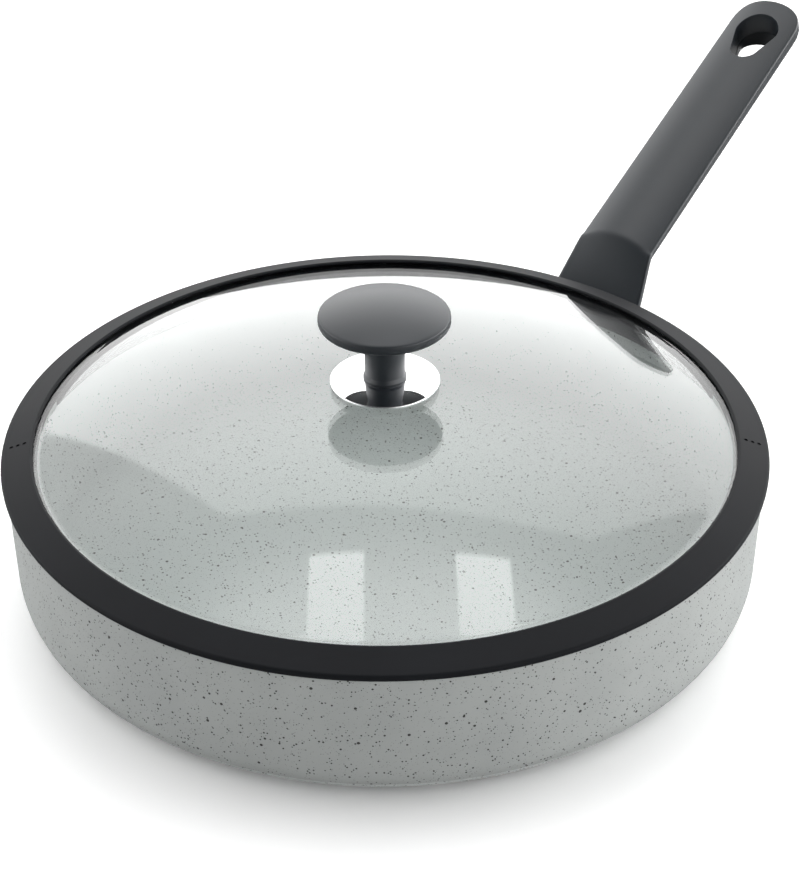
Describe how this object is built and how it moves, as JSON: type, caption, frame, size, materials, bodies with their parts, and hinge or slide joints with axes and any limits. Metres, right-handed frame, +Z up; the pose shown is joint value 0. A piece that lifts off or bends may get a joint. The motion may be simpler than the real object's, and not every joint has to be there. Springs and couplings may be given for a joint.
{
  "type": "saute pan with lid",
  "caption": "Round straight-sided saute pan with one long raised handle, and a domed glass lid with a silicone rim and a mushroom knob.",
  "frame": {"origin": "centre of the face that stands on the hob", "axes": "+X along the handle, +Z up along the pan's axis"},
  "size_m": [0.4722, 0.29, 0.1319],
  "materials": {
    "coated_body": "satin ceramic coating with fine dark speckles",
    "induction_steel": "brushed",
    "fastener_steel": "plain",
    "handle_plastic": "fine matt, soft to the touch",
    "knob_plastic": "fine matt, soft to the touch",
    "lid_glass": "clear tempered glass with a faint green tint",
    "rim_rubber": "matt silicone",
    "gasket_rubber": "matt",
    "insert_brass": "turned",
    "rosette_chrome": "polished"
  },
  "bodies": {
    "pan": {"pan_body": "coated_body", "induction_disc": "induction_steel", "handle_bracket": "fastener_steel", "handle": "handle_plastic", "handle_washer": "fastener_steel", "handle_screw": "fastener_steel"},
    "lid": {"lid_glass": "lid_glass", "silicone_rim": "rim_rubber", "knob": "knob_plastic", "knob_insert": "insert_brass", "knob_rosette": "rosette_chrome", "upper_gasket": "gasket_rubber", "lower_gasket": "gasket_rubber", "lid_washer": "fastener_steel", "lid_screw": "fastener_steel"}
  },
  "joints": [
    {"name": "lid_lift", "type": "slide", "parent": "pan", "child": "lid", "axis": [0, 0, 1], "range_m": [0, 0.15]}
  ]
}
